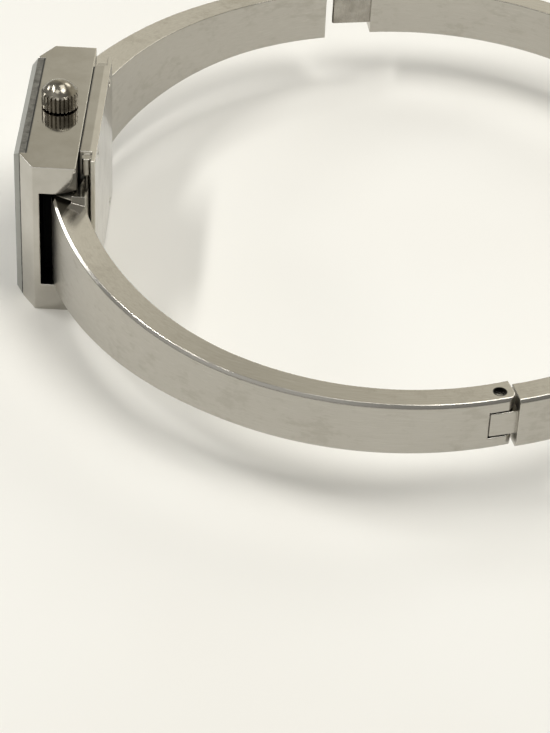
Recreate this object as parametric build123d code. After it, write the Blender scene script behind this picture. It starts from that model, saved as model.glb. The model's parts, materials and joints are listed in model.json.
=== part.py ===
from build123d import *
import os
from math import atan2, degrees, pi, sqrt

# Lengths are millimetres and angles degrees.
# The dial looks along -X, twelve o'clock is +Y and the crown stands up along +Z.
# The pieces are drawn with X zero at the crest of the dial side and Y zero at the middle of the case.
# The last step moves them all so that X zero is the middle of the whole watch.

# Case middle
case_length = 18.6
case_width = 14.0
case_depth = 4.66
end_bevel_depth = 1.2
end_bevel_run = 1.8
end_wall = 2.0
side_drop = 0.53
bezel_end = 3.5
bezel_side = 1.7
cavity_end_wall = 3.05
cavity_side_wall = 1.6
rehaut_floor = 1.25
slot_front = 1.7
slot_height = 9.0
slot_depth = 2.5
scoop_start = 2.7
scoop_crest = 4.45
scoop_top_margin = 0.3
scoop_flare = 1.6
scoop_depth = 0.9

# Crystal and its gasket
crystal_proud = 0.55
crystal_bevel = 0.45
crystal_side_margin = 0.05
crystal_gasket_thickness = 0.12

# Case back with its hinge barrels, gasket and screws
back_gasket_thickness = 0.12
back_gasket_margin = 0.12
back_thickness = 1.32
back_edge_run = 0.5
back_edge_drop = 0.12
back_end_inset = 1.37
back_wall = 0.36
barrel_radius = 0.42
barrel_drop = 0.25
case_pin_inset = 2.3
case_pin_stand = 0.57
pocket_inset = 2.68
notch_height = 10.4
notch_inset = 2.8
case_pin_radius = 0.18
case_pin_cover = 0.5
knuckle_radius = 0.34
neck_width = 1.1
screw_radius = 0.28
screw_head_radius = 0.42
screw_head_height = 0.35
screw_recess = 0.08
screw_bite = 2.0
screw_slot = 0.14
screw_end_inset = 3.9
screw_side_inset = 0.95

# Band: an oval loop of flat bar
loop_offset = 25.16
arm_outer_x = 28.47
arm_outer_y = 31.49
arm_inner_x = 25.87
arm_inner_y = 29.45
tenon_reach = 0.3
tenon_side_gap = 0.12
hip_run = 1.4
hip_half_height = 3.13
level_run = 13.4
level_half_height = 2.42
tail_half_height = 2.28
band_edge_bevel = 0.22

# Hinge between the lower arm and the back section
hinge_offset = 8.41
ear_radius = 1.12
ear_end = 1.05
ear_seat_radius = 1.5
notch_half_height = 1.22
leaf_half_height = 1.05
leaf_end_radius = 1.38
leaf_outer = 1.05
leaf_inner = 0.72
hinge_pin_radius = 0.48
hinge_pin_recess = 0.3
shoulder = 1.2

# Back section, drawn clasped and then opened by a few degrees
section_step = 0.35
section_thickness = 2.1
section_half_height = 2.27
rest_opening = 4.0

# Clasp: a folded spring tongue that enters the end of the upper arm
clasp_offset = -6.14
clasp_gap = 0.15
socket_depth = 4.2
socket_half_height = 1.6
socket_inner = 0.65
socket_outer = 0.45
socket_lip = 0.2
socket_lip_run = 0.5
tongue_reach = 3.4
tongue_root = 2.0
tongue_half_height = 1.3
tongue_inner = 0.5
strip_thickness = 0.25
fold_gap = 0.05
spring_leaf_thickness = 0.2
spring_leaf_end = 0.6
tab_length = 0.5
tab_half_height = 0.5
tab_rise = 1.35
tab_slot_length = 1.7
tab_slot_half_height = 0.75

# Crown, stem and setting pinion
crown_radius = 1.5
crown_height = 1.43
crown_dome = 0.75
crown_gap = 0.15
crown_grooves = 26
crown_groove = 0.15
crown_edge = 0.16
crown_setback = 0.6
stem_radius = 0.35
stem_square = 0.5
stem_fit = 0.03
stem_tail = 0.7
crown_seal_radius = 0.62
crown_seal_thickness = 0.5
crown_seal_inset = 0.35
setting_pinion_radius = 0.7
setting_pinion_length = 0.9
setting_pinion_drop = 3.0
setting_teeth = 12

# Dial and hands
dial_gap = 0.05
dial_thickness = 0.35
dial_hole_radius = 0.55
marker_height = 0.08
marker_length = 1.1
marker_width = 0.28
marker_end_margin = 0.55
minute_hand_top = 0.72
minute_hand_length = 4.7
minute_hand_width = 0.55
hour_hand_top = 0.96
hour_hand_length = 3.1
hour_hand_width = 0.7
hand_thickness = 0.1
hand_tail = 1.1
hand_boss_radius = 0.6
minute_rest_turn = 52.0
hour_rest_turn = -56.0

# Motion work under the dial
arbor_radius = 0.22
pipe_radius = 0.42
gear_thickness = 0.15
gear_gap = 0.05
gear_mesh_gap = 0.06
cannon_pinion_radius = 0.5
minute_wheel_radius = 1.5
minute_pinion_radius = 0.4
hour_wheel_radius = 1.6
minute_wheel_turn = 135.0
wheel_bore_gap = 0.03
minute_post_radius = 0.16
cannon_teeth = 8
minute_teeth = 24
minute_pinion_teeth = 6
hour_teeth = 24
tooth_depth = 0.1

# Movement, drawn at its own size and fitted to the case
caliber_length = 10.8
caliber_width = 9.1
caliber_depth = 3.02
motion_space = 0.47
plate_thickness = 0.8
plate_corner = 1.2
stem_channel = 1.8
stem_channel_gap = 0.4
holder_wall = 0.8
holder_rear_gap = 0.06
bridge_thickness = 0.25
bridge_foot_radius = 0.25
cell_radius = 2.25
cell_thickness = 1.6
cell_edge = 0.25
cell_clearance = 0.1
strap_width = 1.2
strap_thickness = 0.15
center_wheel_radius = 1.0
center_teeth = 24
third_wheel_radius = 1.02
third_pinion_radius = 0.25
third_turn = -16.0
third_teeth = 30
third_pinion_teeth = 6
rotor_radius = 0.5
rotor_pinion_radius = 0.2
rotor_turn = -40.0
coil_end_gap = 1.4
coil_radius = 0.5
coil_edge = 0.8
coil_flange = 0.3
coil_flange_radius = 0.62
stator_thickness = 0.3
stator_end = 0.35
stator_inset = 0.1
stator_ring = 0.95
stator_hole = 0.6
board_length = 4.2
board_width = 2.0
board_thickness = 0.3
board_edge = 0.3
board_top_gap = 1.4
quartz_radius = 0.45
quartz_length = 3.2

# Working values
overrun = 1.0
reach = 80.0
running_gap = 0.03
mid_z = case_width / 2
half_length = case_length / 2
joint_x = case_depth + back_gasket_thickness
back_rear = joint_x + back_thickness
case_pin_x = joint_x + case_pin_stand
case_pin_y = half_length - case_pin_inset
wall_front = back_rear - back_wall
opening_length = case_length - 2 * bezel_end
opening_width = case_width - 2 * bezel_side
cavity_length = case_length - 2 * cavity_end_wall
cavity_width = case_width - 2 * cavity_side_wall
dial_length = cavity_length - 2 * dial_gap
dial_width = cavity_width - 2 * dial_gap
dial_front = rehaut_floor
dial_rear = rehaut_floor + dial_thickness
fit_shares = [
    (dial_length - 2 * holder_wall) / caliber_length,
    (dial_width - 2 * holder_wall) / caliber_width,
    (case_depth - dial_rear) / caliber_depth,
]
movement_fit = min(1, *fit_shares)
plate_x = dial_rear + motion_space
stem_x = dial_rear + movement_fit * (motion_space + plate_thickness / 2)
stem_low = mid_z + movement_fit * (setting_pinion_drop - stem_tail)


def oval_run(half_x, half_y, y):
    """How far an oval reaches along X at a distance along Y."""
    return half_x * sqrt(1 - (y / half_y) ** 2)


# The band's middle line, and the places of its hinge and clasp on it
arm_middle_x = (arm_outer_x + arm_inner_x) / 2
arm_middle_y = (arm_outer_y + arm_inner_y) / 2
loop_center = joint_x + loop_offset
root_x = loop_center - oval_run(arm_outer_x, arm_outer_y, half_length - tenon_reach)
root_half_height = slot_height / 2 - tenon_side_gap
hip_x = back_rear + hip_run
level_x = back_rear + level_run
hinge_x = loop_center + hinge_offset
hinge_y = -oval_run(arm_middle_y, arm_middle_x, hinge_offset)
clasp_x = loop_center + clasp_offset
clasp_y = oval_run(arm_middle_y, arm_middle_x, clasp_offset)


def block(x0, x1, y0, y1, z0, z1):
    """A box between two corners."""
    return Pos((x0 + x1) / 2, (y0 + y1) / 2, (z0 + z1) / 2) * Box(x1 - x0, y1 - y0, z1 - z0)


def rod_x(radius, x0, x1, y=0, z=0):
    """A round bar along X, placed from the middle of the case's width."""
    return Pos((x0 + x1) / 2, y, mid_z + z) * Rot(0, 90, 0) * Cylinder(radius, x1 - x0)


def rod_z(radius, x, y, z0, z1):
    """A round bar along Z."""
    return Pos(x, y, (z0 + z1) / 2) * Cylinder(radius, z1 - z0)


def both_ends(piece):
    """A piece and its mirror image at the other end of the case."""
    return piece + mirror(piece, about=Plane.XZ)


def both_sides(piece):
    """A piece and its mirror image about the middle of the case's width."""
    return piece + mirror(piece, about=Plane.XY.offset(mid_z))


def toothed(radius, teeth, depth):
    """A disc with pointed spaces between its teeth."""
    half = pi * radius / teeth / 2
    out, inner = radius + depth, radius - depth
    space = make_face(Polyline((out, 2 * half), (inner, 0), (out, -2 * half), close=True))
    return Circle(radius) - [Rot(0, 0, 360 * step / teeth) * space for step in range(teeth)]


def gear_x(radius, teeth, x0, x1, y, z):
    """A toothed wheel on an axis along X."""
    return Pos(x0, y, mid_z + z) * Rot(0, 90, 0) * extrude(toothed(radius, teeth, tooth_depth), x1 - x0)


# Case

def rear_scoop():
    """The hollow facet, curved in side view, that leads from the end of the case into the arm's slot."""
    slot_top = mid_z + slot_height / 2
    high = case_width - scoop_top_margin
    end_face = Plane(origin=(scoop_start, -half_length, high), x_dir=(1, 0, 0), z_dir=(0, 1, 0))
    near = end_face * Ellipse(scoop_crest - scoop_start, high - slot_top)
    deep = end_face.offset(scoop_depth) * Ellipse(scoop_flare * (scoop_crest - scoop_start),
                                                  scoop_flare * (high - slot_top))
    corner = block(scoop_start, case_depth + overrun, -half_length, -half_length + scoop_depth,
                   slot_top, high)
    return corner - loft([near, deep])


def make_case_middle():
    """The steel case with its dial opening, movement cavity and a slot for each arm."""
    outline = Polyline(
        (end_bevel_depth, -half_length),
        (case_depth, -half_length),
        (case_depth, half_length),
        (end_bevel_depth, half_length),
        (0, half_length - end_bevel_run),
        (0, -half_length + end_bevel_run),
        close=True,
    )
    case = extrude(make_face(outline), case_width)
    seat = half_length - end_wall
    case -= block(-overrun, side_drop, -seat, seat, -overrun, case_width + overrun)
    case -= block(0, rehaut_floor + overrun, -opening_length / 2, opening_length / 2,
                  mid_z - opening_width / 2, mid_z + opening_width / 2)
    case -= block(rehaut_floor, case_depth + overrun, -cavity_length / 2, cavity_length / 2,
                  mid_z - cavity_width / 2, mid_z + cavity_width / 2)
    slot = block(slot_front, case_depth + overrun, -half_length - overrun, -half_length + slot_depth,
                 mid_z - slot_height / 2, mid_z + slot_height / 2)
    case -= both_ends(slot)
    case -= both_ends(both_sides(rear_scoop()))
    case -= rod_z(stem_radius + stem_fit, stem_x, 0, mid_z, case_width + overrun)
    seal_top = case_width - crown_seal_inset
    case -= rod_z(crown_seal_radius, stem_x, 0, seal_top - crown_seal_thickness, seal_top)
    for y, z in screw_places():
        case -= rod_x(screw_radius, case_depth - screw_bite, case_depth + overrun, y, z)
    return case


def screw_places():
    """Where the case back's four screws stand, from the middle of the case."""
    y = half_length - screw_end_inset
    z = mid_z - screw_side_inset
    return [(side * y, edge * z) for side in (-1, 1) for edge in (-1, 1)]


def make_case_back():
    """The back plate, with a hinge barrel in a pocket at each corner and a notch for each arm's knuckle."""
    end = half_length - back_end_inset
    pocket_end = -half_length + pocket_inset
    notch_end = -half_length + notch_inset
    barrel_top = case_width - barrel_drop
    plate = block(joint_x, back_rear, -end, end, 0, case_width)
    pocket = block(joint_x - overrun, wall_front, -half_length, pocket_end, -overrun, case_width + overrun)
    plate -= both_ends(pocket)
    barrel = rod_z(barrel_radius, case_pin_x, -case_pin_y, mid_z, barrel_top)
    plate += both_ends(both_sides(barrel))
    plate -= both_ends(block(joint_x - overrun, wall_front, -half_length, notch_end,
                             mid_z - notch_height / 2, mid_z + notch_height / 2))
    corner = Polyline(
        (back_rear - back_edge_run, case_width),
        (back_rear + back_edge_run, case_width),
        (back_rear + back_edge_run, case_width - 2 * back_edge_drop),
        close=True,
    )
    bevel = extrude(Plane.XZ * make_face(corner), case_length, both=True)
    plate -= both_sides(bevel)
    for side in (-1, 1):
        plate -= rod_z(case_pin_radius, case_pin_x, side * case_pin_y, -overrun, case_width - case_pin_cover)
    for y, z in screw_places():
        plate -= rod_x(screw_radius, joint_x - overrun, back_rear + overrun, y, z)
        plate -= rod_x(screw_head_radius, back_rear - screw_head_height - screw_recess,
                       back_rear + overrun, y, z)
    return plate


def make_back_gasket():
    """The flat seal between the case and its back."""
    outer_y = half_length - notch_inset
    outer_z = mid_z - back_gasket_margin
    ring = block(case_depth, joint_x, -outer_y, outer_y, mid_z - outer_z, mid_z + outer_z)
    ring -= block(case_depth, joint_x, -cavity_length / 2, cavity_length / 2,
                  mid_z - cavity_width / 2, mid_z + cavity_width / 2)
    for y, z in screw_places():
        ring -= rod_x(screw_radius + back_gasket_margin, case_depth - overrun, joint_x + overrun, y, z)
    return ring


def make_back_screws():
    """The four slotted screws of the case back."""
    screws = []
    head_top = back_rear - screw_recess
    for y, z in screw_places():
        screw = rod_x(screw_radius, case_depth - screw_bite, head_top, y, z)
        screw += rod_x(screw_head_radius, head_top - screw_head_height, head_top, y, z)
        screw -= block(head_top - screw_slot, head_top + overrun, y - screw_slot / 2, y + screw_slot / 2,
                       mid_z + z - screw_head_radius, mid_z + z + screw_head_radius)
        screws.append(screw)
    return screws


def make_case_pin(side):
    """The steel pin that one arm turns on."""
    return rod_z(case_pin_radius, case_pin_x, side * case_pin_y, barrel_drop, case_width - case_pin_cover)


def make_crystal():
    """The flat crystal with its bevelled rim."""
    seat = half_length - end_wall
    glass = block(-crystal_proud, side_drop - crystal_gasket_thickness, -seat, seat,
                  crystal_side_margin, case_width - crystal_side_margin)
    front = glass.faces().sort_by(Axis.X)[0]
    return chamfer(front.edges(), crystal_bevel)


def make_crystal_gasket():
    """The seal that the crystal is pressed down on."""
    seat = half_length - end_wall
    ring = block(side_drop - crystal_gasket_thickness, side_drop, -seat, seat,
                 crystal_side_margin, case_width - crystal_side_margin)
    return ring - block(0, case_depth, -opening_length / 2, opening_length / 2,
                        mid_z - opening_width / 2, mid_z + opening_width / 2)


# Band

def oval(outer_x, outer_y, inner_x, inner_y, half_height):
    """A closed oval hoop, as high as the bar."""
    hoop = Ellipse(outer_x, outer_y) - Ellipse(inner_x, inner_y)
    return Pos(loop_center, 0, mid_z - half_height) * extrude(hoop, 2 * half_height)


def arm_profile():
    """The side view of an arm: wide at the case, drawn in to a slender bar."""
    tail = Line((hinge_x + ear_seat_radius, tail_half_height), (level_x, level_half_height))
    waist = TangentArc(tail @ 1, (hip_x, hip_half_height), tangent=(-1, 0))
    flare = TangentArc(waist @ 1, (root_x, root_half_height), tangent=waist % 1)
    top = [tail, waist, flare]
    bottom = [mirror(edge, about=Plane.XZ) for edge in top]
    right = Line(bottom[0] @ 0, tail @ 0)
    left = Line(flare @ 1, bottom[-1] @ 1)
    side = make_face(top + bottom + [left, right])
    return Pos(0, 0, mid_z) * extrude(Plane.XZ * side, reach, both=True)


def is_outer_edge(edge, outer_x, outer_y):
    """Whether an edge runs along the outside of the band."""
    for share in (0.1, 0.5, 0.9):
        point = edge @ share
        if abs(((point.X - loop_center) / outer_x) ** 2 + (point.Y / outer_y) ** 2 - 1) > 0.002:
            return False
    return abs((edge % 0.5).Z) < 0.6


def arm_bar():
    """One arm's bar, from the case to just past the hinge, on the side of the lower arm."""
    bar = oval(arm_outer_x, arm_outer_y, arm_inner_x, arm_inner_y, root_half_height)
    bar &= arm_profile()
    bar &= block(root_x, hinge_x + ear_end + overrun, -reach, -half_length + tenon_reach, 0, case_width)
    edges = [edge for edge in bar.edges() if is_outer_edge(edge, arm_outer_x, arm_outer_y)]
    bar = chamfer(edges, band_edge_bevel)
    low, high = mid_z - root_half_height, mid_z + root_half_height
    foot = -half_length + tenon_reach - knuckle_radius
    foot_x = loop_center - oval_run(arm_inner_x, arm_inner_y, foot)
    neck = Polyline((case_pin_x - knuckle_radius, -case_pin_y), (case_pin_x + knuckle_radius, -case_pin_y),
                    (foot_x, foot), (foot_x - neck_width, foot), close=True)
    bar += Pos(0, 0, low) * extrude(make_face(neck), high - low)
    bar += rod_z(knuckle_radius, case_pin_x, -case_pin_y, low, high)
    return bar - rod_z(case_pin_radius + running_gap, case_pin_x, -case_pin_y, -overrun, case_width + overrun)


def hinge_place():
    """The hinge pin's place, with X along the bar and Y towards the wrist."""
    slope = (arm_middle_y / arm_middle_x) ** 2 * hinge_offset / -hinge_y
    return Location((hinge_x, hinge_y, 0), (0, 0, degrees(atan2(slope, 1))))


def clasp_place():
    """The clasp's place, with X along the way that the tongue slides out and Y away from the wrist."""
    turn = degrees(atan2(hinge_x - clasp_x, clasp_y - hinge_y))
    return Location((clasp_x, clasp_y, 0), (0, 0, turn))


def make_near_arm():
    """The lower arm, which ends in two ears."""
    hinge = hinge_place()
    arm = arm_bar() & hinge * block(-reach, ear_end, -reach, reach, 0, case_width)
    corner = block(0, ear_end + overrun, -ear_end - overrun, 0, 0, case_width)
    arm -= hinge * (corner - rod_z(ear_radius, 0, 0, 0, case_width))
    notch_low, notch_high = mid_z - notch_half_height, mid_z + notch_half_height
    arm -= hinge * rod_z(ear_seat_radius, 0, 0, notch_low, notch_high)
    arm -= hinge * block(0, ear_end + overrun, -ear_seat_radius, ear_seat_radius, notch_low, notch_high)
    return arm - hinge * rod_z(hinge_pin_radius, 0, 0, 0, case_width)


def make_hinge_pin():
    """The pin held in the ears, its ends set below their faces."""
    height = tail_half_height - hinge_pin_recess
    return hinge_place() * rod_z(hinge_pin_radius, 0, 0, mid_z - height, mid_z + height)


def make_far_arm():
    """The upper arm, which ends in the socket of the clasp."""
    clasp = clasp_place()
    arm = mirror(arm_bar(), about=Plane.XZ) & clasp * block(-reach, 0, -reach, reach, 0, case_width)
    low, high = mid_z - socket_half_height, mid_z + socket_half_height
    arm -= clasp * block(-socket_depth, -socket_lip_run, -socket_inner, socket_outer, low, high)
    arm -= clasp * block(-socket_lip_run, overrun, -socket_inner, socket_lip, low, high)
    arm -= clasp * block(-tab_slot_length, overrun, 0, tab_rise + overrun,
                         mid_z - tab_slot_half_height, mid_z + tab_slot_half_height)
    return arm


def opened(piece):
    """A piece of the back section, turned out from the clasped place to the place at rest."""
    return piece.rotate(Axis((hinge_x, hinge_y, 0), (0, 0, 1)), -rest_opening)


def make_back_section():
    """The curved section behind the wrist, with the hinge leaf and the tongue's seat."""
    hinge = hinge_place()
    clasp = clasp_place()
    outer_x = arm_outer_x + section_step
    outer_y = arm_outer_y + section_step
    section = oval(outer_x, outer_y, outer_x - section_thickness, outer_y - section_thickness,
                   section_half_height)
    section &= hinge * block(shoulder, reach, -reach, reach, 0, case_width)
    section &= clasp * block(clasp_gap, reach, -reach, reach, 0, case_width)
    edges = [edge for edge in section.edges() if is_outer_edge(edge, outer_x, outer_y)]
    section = chamfer(edges, band_edge_bevel)
    leaf_low, leaf_high = mid_z - leaf_half_height, mid_z + leaf_half_height
    leaf = rod_z(leaf_end_radius, 0, 0, leaf_low, leaf_high)
    leaf += block(0, shoulder + section_step, -leaf_outer, leaf_inner, leaf_low, leaf_high)
    leaf &= block(-leaf_end_radius, shoulder + section_step, -leaf_outer, leaf_inner, 0, case_width)
    section += hinge * leaf
    section -= hinge * rod_z(hinge_pin_radius + running_gap, 0, 0, 0, case_width)
    return opened(section - clasp * tongue_strip())


def tongue_strip():
    """The straight strip of the clasp's tongue."""
    return block(-tongue_reach + strip_thickness, tongue_root, -tongue_inner,
                 -tongue_inner + strip_thickness, mid_z - tongue_half_height, mid_z + tongue_half_height)


def make_clasp_tongue():
    """The tongue's strip and the round fold at its tip."""
    fold = rod_z(strip_thickness, -tongue_reach + strip_thickness, -tongue_inner + strip_thickness,
                 mid_z - tongue_half_height, mid_z + tongue_half_height)
    return opened(clasp_place() * (tongue_strip() + fold))


def make_clasp_spring():
    """The sprung upper leaf of the tongue, with its thumb tab."""
    inner = -tongue_inner + strip_thickness + fold_gap
    leaf = block(-tongue_reach + 2 * strip_thickness + fold_gap, -spring_leaf_end,
                 inner, inner + spring_leaf_thickness,
                 mid_z - tongue_half_height, mid_z + tongue_half_height)
    leaf += block(-spring_leaf_end - tab_length, -spring_leaf_end, inner, tab_rise,
                  mid_z - tab_half_height, mid_z + tab_half_height)
    return opened(clasp_place() * leaf)


# Crown and stem

def make_crown():
    """The knurled crown with a domed cap."""
    foot = case_width + crown_gap
    shoulder_z = crown_height - crown_edge
    side = Line((crown_radius, 0), (crown_radius, shoulder_z))
    edge = Line(side @ 1, (crown_radius - crown_edge, crown_height))
    dome = TangentArc((0, crown_height + crown_dome), edge @ 1, tangent=(1, 0))
    axis = Line(dome @ 0, (0, 0))
    face = make_face([side, edge, dome, axis, Line(axis @ 1, side @ 0)])
    crown = revolve(Plane.XZ * face, Axis.Z)
    knurl = Circle(crown_radius + overrun) - toothed(crown_radius, crown_grooves, crown_groove)
    crown -= extrude(knurl, crown_height)
    crown -= rod_z(stem_radius, 0, 0, 0, crown_setback)
    return Pos(stem_x, 0, foot) * crown


def make_stem():
    """The stem: round through the case wall, square where it slides in the setting pinion."""
    top = case_width + crown_gap + crown_setback
    neck = case_width - crown_setback - crown_seal_thickness - crown_seal_inset
    stem = rod_z(stem_radius, stem_x, 0, neck, top)
    square = movement_fit * stem_square / 2
    stem += block(stem_x - square, stem_x + square, -square, square, stem_low, neck)
    return stem


def make_crown_seal():
    """The ring that seals the stem in the case wall."""
    top = case_width - crown_seal_inset
    ring = rod_z(crown_seal_radius, stem_x, 0, top - crown_seal_thickness, top)
    return ring - rod_z(stem_radius + stem_fit, stem_x, 0, 0, case_width)


def make_setting_pinion():
    """The pinion that the stem turns, with a square hole for it."""
    blank = toothed(setting_pinion_radius, setting_teeth, tooth_depth)
    side = stem_square + 2 * stem_fit
    blank -= Rectangle(side, side)
    low = Pos(plate_x + plate_thickness / 2, 0, mid_z + setting_pinion_drop)
    return fitted(low * extrude(blank, setting_pinion_length))


# Dial and hands

def make_dial():
    """The bare dial plate."""
    dial = block(dial_front, dial_rear, -dial_length / 2, dial_length / 2,
                 mid_z - dial_width / 2, mid_z + dial_width / 2)
    return dial - rod_x(dial_hole_radius, dial_front - overrun, dial_rear + overrun)


def make_markers():
    """Four plain bars at twelve, three, six and nine."""
    end = opening_length / 2 - marker_end_margin
    side = opening_width / 2 - marker_end_margin
    front = dial_front - marker_height
    low, high = mid_z - marker_width / 2, mid_z + marker_width / 2
    bar = block(front, dial_front, end - marker_length, end, low, high)
    post = block(front, dial_front, -marker_width / 2, marker_width / 2,
                 mid_z + side - marker_length, mid_z + side)
    return [bar, mirror(bar, about=Plane.XZ), post, mirror(post, about=Plane.XY.offset(mid_z))]


def hand(length, width, front, bore, turn):
    """A dauphine hand, drawn pointing to twelve and then turned clockwise."""
    outline = Polyline((0, length), (width / 2, 0), (0, -hand_tail), (-width / 2, 0), close=True)
    shape = make_face(outline) + Circle(hand_boss_radius) - Circle(bore)
    plate = extrude(Plane.YZ * (Rot(0, 0, -90) * shape), hand_thickness)
    return fitted(Pos(front, 0, mid_z) * Rot(turn, 0, 0) * plate)


def make_minute_hand():
    return hand(minute_hand_length, minute_hand_width, minute_hand_top, arbor_radius, minute_rest_turn)


def make_hour_hand():
    return hand(hour_hand_length, hour_hand_width, hour_hand_top, pipe_radius, hour_rest_turn)


# Motion work and movement, all placed from the middle of the case

def fitted(piece):
    """A piece of the movement, brought from its drawn size to the room in the case."""
    middle = Pos(dial_rear, 0, mid_z)
    return middle * scale(middle.inverse() * piece, movement_fit)


hour_wheel_x = dial_rear + gear_gap
lower_gear_x = hour_wheel_x + gear_thickness + gear_gap
plate_rear = plate_x + plate_thickness
bridge_x = dial_rear + caliber_depth - strap_thickness - bridge_thickness
bridge_rear = bridge_x + bridge_thickness
center_wheel_x = plate_rear + gear_thickness
third_wheel_x = center_wheel_x + 2 * gear_thickness
motion_distance = cannon_pinion_radius + minute_wheel_radius + gear_mesh_gap
third_distance = center_wheel_radius + third_pinion_radius + gear_mesh_gap
rotor_distance = third_wheel_radius + rotor_pinion_radius + gear_mesh_gap
cell_place_y = cell_radius + cell_edge - caliber_length / 2
cell_place_z = cell_radius + cell_edge - caliber_width / 2
coil_place_y = caliber_length / 2 - coil_edge
coil_length = caliber_width - 2 * coil_end_gap
board_place_y = board_length / 2 + board_edge - caliber_length / 2
board_place_z = caliber_width / 2 - board_width / 2 - board_top_gap


def aside(y, z, distance, turn):
    """A point at a distance from another, at an angle from the +Y direction."""
    point = Vector(distance, 0, 0).rotate(Axis.Z, turn)
    return y + point.X, z + point.Y


minute_wheel_y, minute_wheel_z = aside(0, 0, motion_distance, minute_wheel_turn)
third_y, third_z = aside(0, 0, third_distance, third_turn)
rotor_y, rotor_z = aside(third_y, third_z, rotor_distance, rotor_turn)


def make_cannon_pinion():
    """The minute hand's arbor, with the cannon pinion and the center wheel."""
    arbor = rod_x(arbor_radius, minute_hand_top, bridge_x)
    arbor += gear_x(cannon_pinion_radius, cannon_teeth, lower_gear_x, lower_gear_x + gear_thickness, 0, 0)
    arbor += gear_x(center_wheel_radius, center_teeth, center_wheel_x, center_wheel_x + gear_thickness, 0, 0)
    return fitted(arbor)


def make_hour_wheel():
    """The hour wheel and the pipe that carries the hour hand."""
    wheel = gear_x(hour_wheel_radius, hour_teeth, hour_wheel_x, hour_wheel_x + gear_thickness, 0, 0)
    wheel += rod_x(pipe_radius, hour_hand_top, hour_wheel_x + gear_thickness)
    return fitted(wheel - rod_x(arbor_radius + wheel_bore_gap, 0, back_rear))


def make_minute_wheel():
    """The minute wheel and its pinion, on their post."""
    wheel = gear_x(minute_wheel_radius, minute_teeth, lower_gear_x, lower_gear_x + gear_thickness,
                   minute_wheel_y, minute_wheel_z)
    wheel += gear_x(minute_pinion_radius, minute_pinion_teeth, hour_wheel_x, lower_gear_x,
                    minute_wheel_y, minute_wheel_z)
    wheel -= rod_x(minute_post_radius + wheel_bore_gap, 0, back_rear, minute_wheel_y, minute_wheel_z)
    return fitted(wheel)


def make_third_wheel():
    """The third wheel, its pinion and its arbor."""
    wheel = gear_x(third_wheel_radius, third_teeth, third_wheel_x, third_wheel_x + gear_thickness,
                   third_y, third_z)
    wheel += gear_x(third_pinion_radius, third_pinion_teeth, center_wheel_x - gear_gap, third_wheel_x,
                    third_y, third_z)
    return fitted(wheel + rod_x(minute_post_radius, plate_rear, bridge_x, third_y, third_z))


def make_rotor():
    """The stepping motor's magnet with its pinion."""
    rotor = rod_x(rotor_radius, plate_rear + gear_gap, plate_rear + gear_gap + stator_thickness,
                  rotor_y, rotor_z)
    rotor += rod_x(rotor_pinion_radius, plate_rear, bridge_x, rotor_y, rotor_z)
    return fitted(rotor)


def make_main_plate():
    """The movement's plate, cut out for the cell and the stem."""
    outline = RectangleRounded(caliber_length, caliber_width, plate_corner)
    plate = Pos(plate_x, 0, mid_z) * extrude(Plane.YZ * outline, plate_thickness)
    plate -= rod_x(cell_radius + cell_clearance, 0, back_rear, cell_place_y, cell_place_z)
    plate -= rod_x(arbor_radius + wheel_bore_gap, 0, back_rear)
    plate -= block(0, back_rear, -stem_channel / 2, stem_channel / 2,
                   mid_z + setting_pinion_drop - stem_tail - stem_channel_gap, case_width)
    return fitted(plate + rod_x(minute_post_radius, hour_wheel_x, plate_x, minute_wheel_y, minute_wheel_z))


def make_holder():
    """The plastic ring that holds the movement in the case."""
    ring = block(dial_rear, case_depth - holder_rear_gap, -dial_length / 2, dial_length / 2,
                 mid_z - dial_width / 2, mid_z + dial_width / 2)
    inside = RectangleRounded(caliber_length, caliber_width, plate_corner)
    ring -= fitted(Pos(dial_rear, 0, mid_z) * extrude(Plane.YZ * inside, back_rear))
    return ring - rod_z(stem_radius + 2 * stem_fit, stem_x, 0, mid_z, case_width)


def make_bridge():
    """The bridge over the train, on two feet."""
    outline = RectangleRounded(caliber_length, caliber_width, plate_corner)
    bridge = Pos(bridge_x, 0, mid_z) * extrude(Plane.YZ * outline, bridge_thickness)
    bridge -= rod_x(cell_radius + cell_clearance, 0, back_rear, cell_place_y, cell_place_z)
    for side in (-1, 1):
        bridge += rod_x(bridge_foot_radius, plate_rear, bridge_x, side * (caliber_length / 2 - plate_corner),
                        caliber_width / 2 - plate_corner / 2)
    return fitted(bridge)


def make_cell():
    """The button cell."""
    return fitted(rod_x(cell_radius, bridge_rear - cell_thickness, bridge_rear, cell_place_y, cell_place_z))


def make_strap():
    """The spring strap over the cell, seated on the bridge."""
    strap = block(bridge_rear, bridge_rear + strap_thickness, cell_place_y - strap_width / 2,
                  cell_place_y + strap_width / 2, mid_z - caliber_width / 2,
                  mid_z + cell_place_z + cell_radius + strap_width)
    return fitted(strap)


def make_coil():
    """The stepping motor's coil, wound between two flanges."""
    x = plate_rear + coil_flange_radius
    coil = rod_z(coil_radius, x, coil_place_y, mid_z - coil_length / 2, mid_z + coil_length / 2)
    for side in (-1, 1):
        z = mid_z + side * coil_length / 2
        coil += rod_z(coil_flange_radius, x, coil_place_y, z - coil_flange / 2, z + coil_flange / 2)
    return fitted(coil)


def make_stator():
    """The stepping motor's stator: a ring round the rotor and a bar that joins the coil's ends."""
    front = plate_rear + gear_gap
    rear = front + stator_thickness
    outer_y = coil_place_y - coil_flange_radius - stator_inset
    inner_y = rotor_y + stator_ring - stator_inset
    low = coil_length / 2 + coil_flange / 2
    stator = block(front, rear, inner_y, outer_y, mid_z - low - stator_end, mid_z + low + stator_end)
    end = block(front, rear, inner_y, coil_place_y, mid_z + low, mid_z + low + stator_end)
    stator += both_sides(end)
    stator += rod_x(stator_ring, front, rear, rotor_y, rotor_z)
    return fitted(stator - rod_x(stator_hole, front - overrun, rear + overrun, rotor_y, rotor_z))


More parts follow.
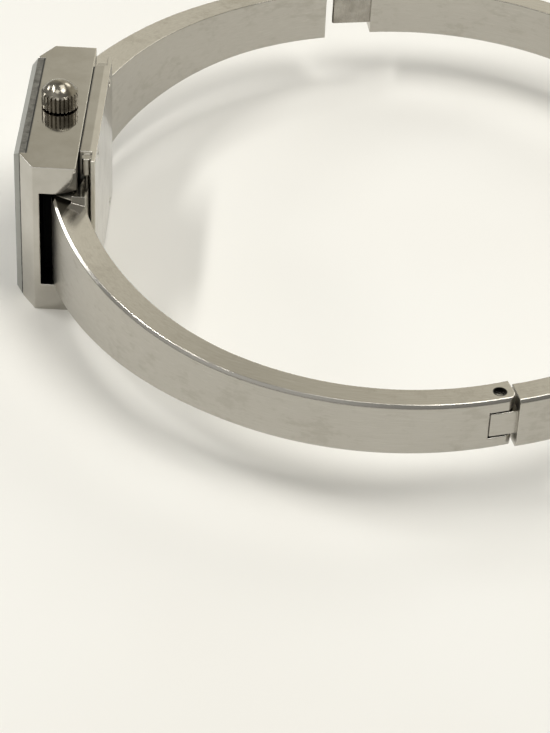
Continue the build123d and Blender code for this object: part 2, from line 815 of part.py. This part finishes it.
def make_circuit():
    """The circuit board."""
    board = block(plate_rear, plate_rear + board_thickness, board_place_y - board_length / 2,
                  board_place_y + board_length / 2, mid_z + board_place_z - board_width / 2,
                  mid_z + board_place_z + board_width / 2)
    return fitted(board)


def make_quartz():
    """The quartz resonator's can, lying on the circuit board."""
    x = plate_rear + board_thickness + quartz_radius
    can = Cylinder(quartz_radius, quartz_length)
    return fitted(Pos(x, board_place_y, mid_z + board_place_z) * Rot(90, 0, 0) * can)


nodes = {
    "case_middle": [make_case_middle()],
    "case_back": [make_case_back()],
    "back_gasket": [make_back_gasket()],
    "back_screws": make_back_screws(),
    "crystal": [make_crystal()],
    "crystal_gasket": [make_crystal_gasket()],
    "near_case_pin": [make_case_pin(-1)],
    "far_case_pin": [make_case_pin(1)],
    "near_arm": [make_near_arm()],
    "hinge_pin": [make_hinge_pin()],
    "far_arm": [make_far_arm()],
    "back_section": [make_back_section()],
    "clasp_tongue": [make_clasp_tongue()],
    "clasp_spring": [make_clasp_spring()],
    "crown": [make_crown()],
    "stem": [make_stem()],
    "crown_seal": [make_crown_seal()],
    "setting_pinion": [make_setting_pinion()],
    "dial": [make_dial()],
    "hour_markers": make_markers(),
    "minute_hand": [make_minute_hand()],
    "hour_hand": [make_hour_hand()],
    "cannon_pinion": [make_cannon_pinion()],
    "hour_wheel": [make_hour_wheel()],
    "minute_wheel": [make_minute_wheel()],
    "third_wheel": [make_third_wheel()],
    "motor_rotor": [make_rotor()],
    "main_plate": [make_main_plate()],
    "movement_holder": [make_holder()],
    "train_bridge": [make_bridge()],
    "button_cell": [make_cell()],
    "cell_strap": [make_strap()],
    "motor_coil": [make_coil()],
    "motor_stator": [make_stator()],
    "circuit_board": [make_circuit()],
    "quartz_can": [make_quartz()],
}

solids = [solid for shapes in nodes.values() for shape in shapes for solid in shape.solids()]
whole = Compound(solids).bounding_box()
shift = -(whole.min.X + whole.max.X) / 2

os.makedirs("parts", exist_ok=True)
for name, shapes in nodes.items():
    placed = [Pos(shift, 0, 0) * solid for shape in shapes for solid in shape.solids()]
    export_step(placed[0] if len(placed) == 1 else Compound(placed), f"parts/{name}.step")

clasp = clasp_place()
fold = opened(clasp * Pos(-tongue_reach + strip_thickness, -tongue_inner + strip_thickness, 0) * Box(1, 1, 1))
places = {
    "near_arm_hinge": (case_pin_x, -case_pin_y, mid_z),
    "far_arm_hinge": (case_pin_x, case_pin_y, mid_z),
    "back_hinge": (hinge_x, hinge_y, mid_z),
    "clasp_spring_fold": tuple(fold.center()),
    "crown": (stem_x, 0, case_width),
    "minute_hand": (minute_hand_top, 0, mid_z),
    "minute_wheel": (lower_gear_x, minute_wheel_y, mid_z + minute_wheel_z),
    "third_wheel": (third_wheel_x, third_y, mid_z + third_z),
    "motor_rotor": (plate_rear, rotor_y, mid_z + rotor_z),
}
for name, (x, y, z) in places.items():
    print(f"{name} is centred at X {x + shift:.4f}, Y {y:.4f}, Z {z:.4f}")
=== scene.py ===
import json
import math

import bmesh
import bpy
from mathutils import Matrix, Vector

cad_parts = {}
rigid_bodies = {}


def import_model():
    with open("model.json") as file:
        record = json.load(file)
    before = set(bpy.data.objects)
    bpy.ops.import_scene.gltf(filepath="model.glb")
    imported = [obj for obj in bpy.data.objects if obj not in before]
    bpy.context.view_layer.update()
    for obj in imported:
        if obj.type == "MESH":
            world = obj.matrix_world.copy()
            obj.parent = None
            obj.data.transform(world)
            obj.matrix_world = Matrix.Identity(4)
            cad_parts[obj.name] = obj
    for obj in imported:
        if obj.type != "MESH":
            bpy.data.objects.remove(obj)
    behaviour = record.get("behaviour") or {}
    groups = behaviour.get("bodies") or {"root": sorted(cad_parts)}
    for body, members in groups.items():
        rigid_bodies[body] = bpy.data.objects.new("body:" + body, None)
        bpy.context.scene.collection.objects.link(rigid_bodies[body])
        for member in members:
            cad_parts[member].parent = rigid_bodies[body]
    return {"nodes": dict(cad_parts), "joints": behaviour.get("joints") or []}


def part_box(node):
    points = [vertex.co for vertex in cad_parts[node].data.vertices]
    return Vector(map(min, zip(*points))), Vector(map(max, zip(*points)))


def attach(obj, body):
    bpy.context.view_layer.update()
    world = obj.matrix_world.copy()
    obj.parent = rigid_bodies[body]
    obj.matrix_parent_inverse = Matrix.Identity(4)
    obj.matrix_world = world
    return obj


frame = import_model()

for spare in [o for o in bpy.data.objects if o.name in ("Cube", "Camera", "Light")]:
    bpy.data.objects.remove(spare)
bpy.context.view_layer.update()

# Lengths are metres, and MM turns millimetres into them
MM = 0.001

# Places on the case, the crystal and the band's hinge, from the frame
case_low, case_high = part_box("case_middle")
crystal_low, crystal_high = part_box("crystal")
CASE_FRONT = case_low.x
CASE_END = case_high.y
CASE_HALF_WIDTH = (case_high.z - case_low.z) / 2
MID_Z = (case_low.z + case_high.z) / 2
BACK_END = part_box("case_back")[1].y
CRYSTAL_END = crystal_high.y
CRYSTAL_HALF_WIDTH = (crystal_high.z - crystal_low.z) / 2
CRYSTAL_BEVEL = 0.45 * MM
HINGE_PIN = [joint["pos_m"] for joint in frame["joints"] if joint["name"] == "back_section_hinge"][0]
PIN_HOLE_RADIUS = 0.53 * MM

# The slots that the arms go into at the case's ends, and the hollows cut above and below them
SLOT_FRONT = CASE_FRONT + 1.7 * MM
SLOT_DEPTH = 2.5 * MM
SLOT_HALF_HEIGHT = 4.5 * MM
SCOOP_FRONT = CASE_FRONT + 2.7 * MM
SCOOP_DEPTH = 0.9 * MM
SCOOP_HALF_HEIGHT = CASE_HALF_WIDTH - 0.3 * MM

# The band's oval: its middle, and the radius at which the brushing round it is measured
BAND_MIDDLE_X = -0.2 * MM
BAND_RADIUS = 30 * MM

# The radii that edges are rounded by in the shading
SMALL_ROUNDING = 0.04 * MM
BAND_ROUNDING = 0.09 * MM
CASE_ROUNDING = 0.13 * MM
ROLLED_EDGE = 0.16 * MM


def linear(red, green, blue):
    """A colour picked in 0 to 255 values, as Blender wants it."""
    shares = [c / 255 for c in (red, green, blue)]
    return tuple(((c + 0.055) / 1.055) ** 2.4 if c > 0.04 else c / 12.92 for c in shares) + (1,)


class Nodes:
    """Short ways to add nodes to a tree and join them."""

    def __init__(self, tree):
        self.tree = tree

    def feed(self, socket, value):
        """Joins another node's output to the socket, or sets it to a plain value."""
        if isinstance(value, bpy.types.NodeSocket):
            self.tree.links.new(value, socket)
        else:
            socket.default_value = value

    def add(self, kind, inputs=None, **settings):
        """Adds a node. Its inputs go by name or number."""
        node = self.tree.nodes.new("ShaderNode" + kind)
        for key, value in settings.items():
            setattr(node, key, value)
        for key, value in (inputs or {}).items():
            self.feed(node.inputs[key], value)
        return node

    def number(self, operation, first, second=0.0):
        """The result of a sum with plain numbers or outputs."""
        return self.add("Math", {0: first, 1: second}, operation=operation).outputs[0]

    def plus(self, first, second):
        return self.number("ADD", first, second)

    def minus(self, first, second):
        return self.number("SUBTRACT", first, second)

    def times(self, first, second):
        return self.number("MULTIPLY", first, second)

    def larger(self, first, second):
        return self.number("MAXIMUM", first, second)

    def size(self, value):
        return self.number("ABSOLUTE", value)

    def vector(self, operation, first, second):
        return self.add("VectorMath", {0: first, 1: second}, operation=operation).outputs["Vector"]

    def dot(self, first, second):
        return self.add("VectorMath", {0: first, 1: second}, operation="DOT_PRODUCT").outputs["Value"]

    def length(self, vector):
        return self.add("VectorMath", {0: vector}, operation="LENGTH").outputs["Value"]

    def parts(self, vector):
        """The x, y and z of a vector."""
        return self.add("SeparateXYZ", {0: vector}).outputs

    def between(self, value, low, high, to_low=0.0, to_high=1.0):
        """The value, with low turned into to_low and high into to_high, and held there beyond them."""
        ranges = {"Value": value, "From Min": low, "From Max": high, "To Min": to_low, "To Max": to_high}
        return self.add("MapRange", ranges).outputs["Result"]

    def above(self, value, edge, fade):
        """0 up to the edge, and 1 from the width of the fade past it."""
        return self.between(value, edge, edge + fade)

    def below(self, value, edge, fade):
        """0 from the edge on, and 1 until the width of the fade before it."""
        return self.between(value, edge, edge - fade)

    def mix(self, share, first, second):
        """The first colour where the share is 0, and the second where it is 1."""
        return self.add("Mix", {0: share, 6: first, 7: second}, data_type="RGBA").outputs[2]

    def tint(self, tone, mask, share, colour):
        """The tone, with a share of the colour where the mask is 1."""
        return self.mix(self.times(mask, share), tone, colour)


class Paint(Nodes):
    """A new material with its shader, and the patterns and places that its nodes work out."""

    def __init__(self, name):
        self.material = bpy.data.materials.new(name)
        self.material.use_nodes = True
        super().__init__(self.material.node_tree)
        self.tree.nodes.clear()
        self.shader = self.add("BsdfPrincipled")
        self.add("OutputMaterial", {0: self.shader.outputs[0]})
        point = self.add("TexCoord").outputs
        self.where = point["Object"]
        self.facing = point["Normal"]

    def set(self, **values):
        """Feeds the shader's inputs, named with _ for a space."""
        for key, value in values.items():
            self.feed(self.shader.inputs[key.replace("_", " ")], value)

    def stretched(self, x, y, z, vector=None):
        return self.add("Mapping", {"Vector": vector or self.where, "Scale": (x, y, z)}).outputs[0]

    def noise(self, scale, detail=3.0, roughness=0.5, vector=None):
        inputs = {"Vector": vector or self.where, "Scale": scale, "Detail": detail, "Roughness": roughness}
        return self.add("TexNoise", inputs).outputs["Fac"]

    def bump(self, height, depth, normal=None):
        inputs = {"Height": height, "Distance": depth}
        if normal:
            inputs["Normal"] = normal
        return self.add("Bump", inputs).outputs[0]

    def rounded(self, radius, samples=6):
        return self.add("Bevel", {"Radius": radius}, samples=samples).outputs[0]

    def edge_highlight_mask(self, radius):
        """1 close to an edge, 0 on the faces."""
        flat = self.add("NewGeometry").outputs["Normal"]
        return self.between(self.dot(self.rounded(radius, samples=4), flat), 0.995, 0.86)

    def scratches(self, scale, amount, turn):
        """Thin, long lines in patches, mostly along one way."""
        turned = self.add("Mapping", {"Vector": self.where, "Rotation": (0, 0, turn),
                                      "Scale": (scale, scale * 0.03, scale)}).outputs[0]
        cells = self.add("TexVoronoi", {"Vector": turned, "Scale": 1.0, "Randomness": 1.0},
                         feature="DISTANCE_TO_EDGE").outputs["Distance"]
        lines = self.between(cells, 0.0, 0.02, 1.0, 0.0)
        patchy = self.between(self.noise(scale * 0.35, 2.0), 0.62 - amount, 0.7 - amount)
        return self.times(lines, patchy)

    def round_band(self):
        """How far round the band, out from its middle, and up, each as a length."""
        x, y, z = self.parts(self.where)
        from_middle = self.minus(x, BAND_MIDDLE_X)
        around = self.times(self.number("ARCTAN2", y, from_middle), BAND_RADIUS)
        reach = self.length(self.add("CombineXYZ", {0: from_middle, 1: y}).outputs[0])
        return self.add("CombineXYZ", {0: around, 1: reach, 2: z}).outputs[0]

    def case_places(self):
        """How far from the dial side to the wrist, and how far from the case's middle along it and up."""
        x, y, z = self.parts(self.where)
        return x, self.size(y), self.size(self.minus(z, MID_Z))


STEEL = linear(187, 184, 177)
STEEL_DARK = linear(160, 155, 144)
# A lighter steel tone, painted along edges as a highlight
STEEL_HIGHLIGHT = linear(205, 201, 192)
# A dark brown, painted along the band's rolled edge as a dark reflection line
DARK_REFLECTION_BROWN = linear(62, 58, 50)
# A grey, painted as shade in the hollows above and below the slots
SCOOP_SHADE_GREY = linear(110, 107, 100)
# A pale tone, painted on the case back's end walls as light
BACK_END_PAINTED_LIGHT = linear(232, 228, 217)
# Near black, painted as shade inside the hinge pin's hole
PIN_HOLE_SHADE = (0.01, 0.01, 0.009, 1)
# Black, painted as shade on the slots' walls
SLOT_SHADE_BLACK = (0.006, 0.006, 0.006, 1)
GLASS_CLEAR = (0.93, 0.95, 0.95, 1)
GLASS_BEND = 1.52


def band_steel():
    """Satin steel with polished top faces, brushed lengthwise and rubbed by wear, with a painted highlight
    along its edges, a painted dark reflection line along its rolled top edge and painted shade in the hinge
    pin's hole.
    """
    p = Paint("band_satin_steel")
    lengthwise = p.stretched(600, 9000, 26000, p.round_band())
    brushed = p.noise(1.0, detail=4.0, roughness=0.6, vector=lengthwise)
    cloudy = p.noise(260, detail=4.0, roughness=0.62)
    rubbed = p.noise(900, detail=5.0, roughness=0.7, vector=p.stretched(1, 1, 2.2))
    smudge = p.between(p.times(cloudy, rubbed), 0.27, 0.36)
    edge = p.edge_highlight_mask(0.12 * MM)
    top = p.between(p.size(p.parts(p.facing)[2]), 0.3, 0.6)
    # Painted shade: everything within the pin hole's radius of the hinge pin's axis is darkened to near black
    from_pin = p.vector("MULTIPLY", p.vector("SUBTRACT", p.where, HINGE_PIN), (1.0, 1.0, 0.0))
    pin_hole_shade = p.below(p.length(from_pin), PIN_HOLE_RADIUS + 0.03 * MM, 0.03 * MM)
    marks = p.larger(p.scratches(2600, 0.03, 0.4), p.scratches(1100, 0.0, -0.7))
    marks = p.times(marks, p.between(top, 0.0, 1.0, 1.0, 0.2))
    # Painted dark reflection: a thin dark line along the rolled top edge, where the rounded normal leans
    # partly up
    rolled = p.parts(p.rounded(ROLLED_EDGE))[2]
    dark_reflection_line = p.times(p.between(rolled, 0.04, 0.16), p.between(rolled, 0.58, 0.42))
    tone = p.mix(p.between(brushed, 0.3, 0.7, 0.0, 0.35), STEEL, STEEL_DARK)
    tone = p.tint(tone, smudge, 0.3, STEEL_DARK)
    # Painted highlight: the edges are tinted lighter
    tone = p.tint(tone, edge, 0.5, STEEL_HIGHLIGHT)
    tone = p.tint(tone, dark_reflection_line, 0.75, DARK_REFLECTION_BROWN)
    tone = p.mix(pin_hole_shade, tone, PIN_HOLE_SHADE)
    rough = p.between(brushed, 0.25, 0.75, 0.26, 0.36)
    rough = p.plus(rough, p.times(smudge, 0.08))
    rough = p.minus(rough, p.times(edge, 0.08))
    rough = p.minus(rough, p.times(top, 0.17))
    satin = p.times(brushed, p.between(top, 0.0, 1.0, 0.35, 0.04))
    relief = p.bump(p.minus(satin, marks), 0.003 * MM, p.rounded(BAND_ROUNDING))
    p.set(Base_Color=tone, Metallic=1.0, Roughness=rough, Normal=relief)
    return p.material


def inside_slot(p):
    """1 on the walls of the case's slots."""
    depth, along, up = p.case_places()
    ends = p.times(p.above(along, CASE_END - SLOT_DEPTH - 0.1 * MM, 0.05 * MM),
                   p.below(along, CASE_END - 0.01 * MM, 0.04 * MM))
    sides = p.times(ends, p.below(up, SLOT_HALF_HEIGHT + 0.06 * MM, 0.04 * MM))
    return p.times(sides, p.above(depth, SLOT_FRONT - 0.1 * MM, 0.05 * MM))


def inside_scoop(p):
    """1 in the hollows above and below each slot."""
    depth, along, up = p.case_places()
    ends = p.times(p.above(along, CASE_END - SCOOP_DEPTH - 0.6 * MM, 0.2 * MM),
                   p.below(along, CASE_END - 0.01 * MM, 0.02 * MM))
    tall = p.times(p.above(up, SLOT_HALF_HEIGHT - 0.04 * MM, 0.06 * MM),
                   p.below(up, SCOOP_HALF_HEIGHT - 0.1 * MM, 0.1 * MM))
    return p.times(p.times(ends, tall), p.above(depth, SCOOP_FRONT - 0.067 * MM, 0.1 * MM))


def slot_shade_and_dull_walls(p, tone, rough):
    """Paints shade on the slots' walls in black and in their hollows in grey, and leaves neither of them
    polished.
    """
    for mask, colour in ((inside_slot(p), SLOT_SHADE_BLACK), (inside_scoop(p), SCOOP_SHADE_GREY)):
        tone = p.mix(mask, tone, colour)
        rough = p.plus(rough, p.times(mask, 0.5))
    return tone, rough


def painted_light_back_ends(p, tone, rough):
    """Paints light on the case back's end walls, making them paler, and makes them satin, apart from the
    faces that look straight up or down.
    """
    along = p.case_places()[1]
    facing = p.parts(p.facing)
    end = p.larger(p.between(p.size(facing[1]), 0.85, 0.97), p.above(along, BACK_END - 0.13 * MM, 0.4 * MM))
    end = p.times(end, p.between(p.size(facing[2]), 0.97, 0.85))
    return p.mix(end, tone, BACK_END_PAINTED_LIGHT), p.plus(rough, p.times(end, 0.3))


def case_steel(name, roughness, finish_ends):
    """Polished steel with hair scratches and soft edges, with a painted highlight along the edges. The
    roughness is its least and its most.
    """
    p = Paint(name)
    cloudy = p.noise(420, detail=4.0, roughness=0.6)
    marks = p.larger(p.scratches(2200, 0.02, 0.9), p.scratches(3100, 0.0, -0.3))
    tone = p.mix(p.between(cloudy, 0.35, 0.7, 0.0, 0.4), STEEL, STEEL_DARK)
    # Painted highlight: the edges are tinted lighter
    tone = p.tint(tone, p.edge_highlight_mask(0.1 * MM), 0.5, STEEL_HIGHLIGHT)
    tone, rough = finish_ends(p, tone, p.between(cloudy, 0.3, 0.7, *roughness))
    p.set(Base_Color=tone, Metallic=1.0, Roughness=rough,
          Normal=p.bump(marks, -0.002 * MM, p.rounded(CASE_ROUNDING)))
    return p.material


def plain_metal(name, tone, dark, roughness, grain=(4000, 4000, 4000)):
    """A small machined metal part: fine grain, slightly uneven tone."""
    p = Paint(name)
    fine = p.noise(1.0, roughness=0.6, vector=p.stretched(*grain))
    cloudy = p.noise(700, roughness=0.6)
    p.set(Base_Color=p.mix(p.between(cloudy, 0.35, 0.7), tone, dark), Metallic=1.0,
          Roughness=p.between(fine, 0.3, 0.7, *roughness),
          Normal=p.bump(fine, 0.002 * MM, p.rounded(SMALL_ROUNDING)))
    return p.material


def moulded(name, tone, dark, roughness):
    """A moulded plastic or rubber part."""
    p = Paint(name)
    grain = p.noise(2500, roughness=0.6)
    cloudy = p.noise(500)
    p.set(Base_Color=p.mix(p.between(cloudy, 0.35, 0.7), tone, dark),
          Roughness=p.between(grain, 0.3, 0.7, *roughness),
          Normal=p.bump(grain, 0.004 * MM, p.rounded(SMALL_ROUNDING)))
    return p.material


def crystal_glass():
    """Mineral glass with faint dust and hair scratches, and a greyer, less clear bevelled rim, painted light
    grey on its bevel faces as a reflection and mottled dark on its side walls as shade.
    """
    p = Paint("mineral_crystal")
    haze = p.noise(900, detail=4.0, roughness=0.6)
    marks = p.scratches(2600, 0.02, 0.5)
    along, up = p.case_places()[1:]
    rim = p.larger(p.above(along, CRYSTAL_END - CRYSTAL_BEVEL - 0.1 * MM, 0.15 * MM),
                   p.above(up, CRYSTAL_HALF_WIDTH - CRYSTAL_BEVEL - 0.1 * MM, 0.15 * MM))
    # Painted reflection and shade on the rim: light grey on the bevel faces, a mottled dark on the side walls
    side = p.between(p.size(p.parts(p.facing)[0]), 0.3, 0.1)
    blotch = p.between(p.noise(1500, detail=4.0, roughness=0.7), 0.35, 0.62)
    painted_dark_wall = p.mix(blotch, linear(70, 68, 63), linear(138, 136, 128))
    tone = p.mix(rim, GLASS_CLEAR, p.mix(side, linear(192, 193, 186), painted_dark_wall))
    rough = p.plus(p.between(haze, 0.45, 0.8, 0.02, 0.09), p.times(rim, 0.3))
    p.set(Base_Color=tone, Roughness=rough, IOR=GLASS_BEND, Normal=p.bump(marks, -0.002 * MM),
          Transmission_Weight=p.between(rim, 0.0, 1.0, 1.0, 0.35))
    return p.material


def silvered_dial():
    """Silvered dial with brushing that fans out from the middle."""
    p = Paint("silvered_dial")
    place = p.parts(p.where)
    turn = p.number("ARCTAN2", place[1], p.minus(place[2], MID_Z))
    round_middle = p.add("CombineXYZ", {0: p.times(turn, 40.0)}).outputs[0]
    rays = p.noise(1.0, detail=4.0, roughness=0.7, vector=round_middle)
    p.set(Base_Color=p.mix(rays, linear(214, 211, 203), linear(232, 230, 224)), Metallic=0.6,
          Roughness=p.between(rays, 0.3, 0.7, 0.3, 0.42), Normal=p.bump(rays, 0.002 * MM))
    return p.material


def wound_copper():
    """Enamelled wire, turn beside turn."""
    p = Paint("wound_copper")
    turns = p.add("TexWave", {"Vector": p.where, "Scale": 3200.0, "Distortion": 0.2},
                  wave_type="BANDS", bands_direction="Z").outputs["Fac"]
    p.set(Base_Color=p.mix(turns, linear(96, 40, 22), linear(196, 108, 66)), Metallic=0.8,
          Roughness=p.between(turns, 0.0, 1.0, 0.45, 0.28), Normal=p.bump(turns, 0.02 * MM))
    return p.material


def circuit_laminate():
    """Green solder mask with a grid of plain copper tracks."""
    p = Paint("circuit_laminate")
    tracks = p.add("TexBrick", {"Vector": p.where, "Scale": 1400.0, "Mortar Size": 0.12,
                                "Color1": linear(16, 66, 40), "Color2": linear(20, 78, 46),
                                "Mortar": linear(120, 128, 60)}).outputs
    grain = p.noise(3000, roughness=0.6)
    p.set(Base_Color=tracks["Color"], Roughness=p.between(grain, 0.3, 0.7, 0.28, 0.42),
          Normal=p.bump(tracks["Fac"], -0.01 * MM))
    return p.material


def white_sheet():
    """Matt off-white card, faintly mottled."""
    p = Paint("white_sheet")
    mottled = p.noise(22)
    fibre = p.noise(2400, roughness=0.6)
    tone = p.mix(p.between(mottled, 0.3, 0.7), linear(243, 241, 234), linear(247, 246, 240))
    p.set(Base_Color=tone, Roughness=0.9, Normal=p.bump(fibre, 0.004 * MM))
    return p.material


# Each finish: its name, main and darker tone, and its least and most roughness
brass = plain_metal("gilt_brass", linear(206, 170, 96), linear(176, 138, 70), (0.2, 0.34))
nickel = plain_metal("nickel_plate", linear(190, 186, 174), linear(168, 162, 146), (0.24, 0.4),
                     grain=(900, 9000, 900))
ground = plain_metal("ground_steel", linear(170, 166, 158), linear(142, 138, 130), (0.18, 0.32),
                     grain=(9000, 9000, 900))
bright = plain_metal("bright_can", linear(204, 202, 196), linear(184, 181, 172), (0.12, 0.26))
crown_steel = plain_metal("crown_steel", linear(158, 153, 141), linear(112, 107, 96), (0.12, 0.24),
                          grain=(7000, 7000, 1500))
root_steel = plain_metal("arm_root_steel", linear(158, 154, 143), linear(132, 128, 117), (0.42, 0.54))
hand_steel = plain_metal("polished_hands", linear(150, 148, 144), linear(120, 118, 114), (0.1, 0.2))
rubber = moulded("black_rubber", linear(14, 14, 14), linear(24, 24, 23), (0.52, 0.7))
plastic = moulded("moulded_holder", linear(206, 204, 196), linear(190, 187, 178), (0.38, 0.56))

# The finish of every piece from the frame
finishes = {
    case_steel("case_polished_steel", (0.05, 0.12), slot_shade_and_dull_walls): ["case_middle"],
    case_steel("back_polished_steel", (0.08, 0.16), painted_light_back_ends): ["case_back"],
    band_steel(): ["near_arm", "far_arm", "back_section"],
    crown_steel: ["crown"],
    ground: ["back_screws", "near_case_pin", "far_case_pin", "hinge_pin", "clasp_tongue", "clasp_spring",
             "stem", "setting_pinion", "motor_rotor", "cell_strap"],
    crystal_glass(): ["crystal"],
    rubber: ["back_gasket", "crystal_gasket", "crown_seal"],
    silvered_dial(): ["dial"],
    hand_steel: ["hour_markers", "minute_hand", "hour_hand"],
    brass: ["cannon_pinion", "hour_wheel", "minute_wheel", "third_wheel"],
    nickel: ["main_plate", "train_bridge", "motor_stator"],
    plastic: ["movement_holder"],
    bright: ["button_cell", "quartz_can"],
    wound_copper(): ["motor_coil"],
    circuit_laminate(): ["circuit_board"],
}
for finish, names in finishes.items():
    for name in names:
        for slot in frame["nodes"][name].material_slots:
            slot.material = finish


def in_scene(name, data):
    """A new object of that mesh, lamp or camera, in the scene."""
    item = bpy.data.objects.new(name, data)
    bpy.context.scene.collection.objects.link(item)
    return item


def built_piece(name, build, finish):
    """A new object of the built mesh, in one material."""
    mesh = bpy.data.meshes.new(name)
    build.to_mesh(mesh)
    build.free()
    mesh.materials.append(finish)
    return in_scene(name, mesh)


# The two ends of an arm's root: how far out along the case, the depth of its front edge from the dial side,
# and half its height at that edge, just behind the edge and at the back, all in millimetres
ROOT_ENDS = ((9.06, 2.72, 4.16, 4.27, 3.74), (8.08, 2.92, 4.3, 4.38, 4.02))
ROOT_EDGE_RUN = 0.2
ROOT_BACK = 4.6
ROOT_SOFTNESS = 0.06 * MM


def arm_root(name, body, side):
    """The arm's last bit inside the case's slot, drawn on from the bar's own end."""
    build = bmesh.new()
    rings = []
    for along, front, edge, behind, back in ROOT_ENDS:
        half = [(front, edge), (front + ROOT_EDGE_RUN, behind), (ROOT_BACK, back)]
        outline = half + [(depth, -up) for depth, up in reversed(half)]
        rings.append([build.verts.new((CASE_FRONT + depth * MM, side * along * MM, MID_Z + up * MM))
                      for depth, up in outline])
    outer, inner = rings
    for k in range(len(outer)):
        after = (k + 1) % len(outer)
        build.faces.new((outer[k], outer[after], inner[after], inner[k]))
    build.faces.new(outer)
    build.faces.new(list(reversed(inner)))
    bmesh.ops.recalc_face_normals(build, faces=build.faces)
    piece = built_piece(name, build, root_steel)
    soft = piece.modifiers.new("soft_edges", "BEVEL")
    soft.width = ROOT_SOFTNESS
    soft.segments = 2
    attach(piece, body)


arm_root("near_arm_root", "near_arm", -1)
arm_root("far_arm_root", "far_arm", 1)

FLOOR_HALF_SIDE = 1.2
sheet = bmesh.new()
bmesh.ops.create_grid(sheet, x_segments=2, y_segments=2, size=FLOOR_HALF_SIDE)
floor = built_piece("floor", sheet, white_sheet())

# What the lamps are turned to, and their tones
WATCH = (0.0, 0.0, 0.0)
CASE_LOWER_END = (-0.026, -0.012, 0.01)
WARM = (1.0, 0.987, 0.96)
NEUTRAL = (1.0, 1.0, 1.0)


def lamp(name, place, size, watts, target=WATCH, tone=WARM):
    """A rectangular soft lamp, turned to its target."""
    data = bpy.data.lights.new(name, "AREA")
    data.shape = "RECTANGLE"
    data.size, data.size_y = size
    data.energy = watts
    data.color = tone
    item = in_scene(name, data)
    item.location = place
    item.rotation_euler = (Vector(target) - Vector(place)).to_track_quat("-Z", "Y").to_euler()


lamp("left_tube", (-0.34, 0.02, 0.52), size=(0.4, 0.036), watts=1.42)
lamp("right_panel", (0.2, -0.12, 0.55), size=(0.22, 0.2), watts=0.92)
lamp("overhead", (0.13, 0.08, 0.575), size=(0.36, 0.26), watts=1.0)
lamp("back_lamp", (0.25, 0.42, 0.34), size=(0.2, 0.2), watts=0.45)
lamp("front_panel", (-0.127, -0.22, 0.544), size=(0.2, 0.2), watts=0.26)
lamp("side_window", (-0.4185, 0.183, 0.2475), size=(0.15, 0.08), watts=0.28, target=CASE_LOWER_END,
     tone=NEUTRAL)

# The room from the camera's side to the pale wall behind the watch: place, brightness and warmth
ROOM_STOPS = ((0.0, 0.75, 0.96), (0.22, 0.4, 0.96), (0.6, 0.28, 0.94), (0.85, 0.5, 0.8), (0.94, 0.95, 0.82))
PALE_WALL_WAY = (0.8, 1.0, 0.0)
ROOM_LIGHT = 0.1


def soft_room():
    """A room that the camera, metal and glass see in full, and that lights the rest only a little."""
    world = bpy.data.worlds.new("soft_room")
    bpy.context.scene.world = world
    world.use_nodes = True
    room = Nodes(world.node_tree)
    background = world.node_tree.nodes["Background"].inputs
    lean = room.dot(room.add("TexCoord").outputs["Generated"], PALE_WALL_WAY)
    ramp = room.add("ValToRGB", {"Fac": room.between(lean, -1.0, 1.0)})
    while len(ramp.color_ramp.elements) < len(ROOM_STOPS):
        ramp.color_ramp.elements.new(0.5)
    for stop, (place, level, warmth) in zip(ramp.color_ramp.elements, ROOM_STOPS):
        stop.position = place
        stop.color = (level, level * (0.75 + warmth / 4), level * warmth, 1)
    room.feed(background["Color"], ramp.outputs["Color"])
    ray = room.add("LightPath").outputs
    seen = room.larger(ray["Is Camera Ray"], ray["Is Glossy Ray"])
    seen = room.larger(seen, ray["Is Transmission Ray"])
    room.feed(background["Strength"], room.between(seen, 0.0, 1.0, ROOM_LIGHT))


soft_room()

# The camera as it was fitted to the photo: focal length in the photo's pixels, turns in degrees
PHOTO_LONG_SIDE = 733
FOCAL_PIXELS = 2677.4
SENSOR_WIDTH = 36.0
CAMERA_PLACE = (-0.0070534, -0.18634, 0.1331)
CAMERA_PITCH = 37.91
CAMERA_YAW = -0.59
CAMERA_ROLL = -2.67


def photo_camera():
    """The camera that sees the watch as the photo does."""
    data = bpy.data.cameras.new("camera")
    data.sensor_width = SENSOR_WIDTH
    data.lens = FOCAL_PIXELS * SENSOR_WIDTH / PHOTO_LONG_SIDE
    data.clip_start = 0.01
    data.clip_end = 10.0
    pitch, yaw, roll = [math.radians(turn) for turn in (CAMERA_PITCH, CAMERA_YAW, CAMERA_ROLL)]
    forward = Vector((math.sin(yaw) * math.cos(pitch), math.cos(yaw) * math.cos(pitch), -math.sin(pitch)))
    right = Vector((math.cos(yaw), -math.sin(yaw), 0))
    down = forward.cross(right)
    image_right = math.cos(roll) * right + math.sin(roll) * down
    image_up = math.sin(roll) * right - math.cos(roll) * down
    turned = Matrix((image_right, image_up, -forward)).transposed().to_4x4()
    camera = in_scene("camera", data)
    camera.matrix_world = Matrix.Translation(CAMERA_PLACE) @ turned
    bpy.context.scene.camera = camera


photo_camera()
bpy.context.scene.view_settings.view_transform = "Standard"
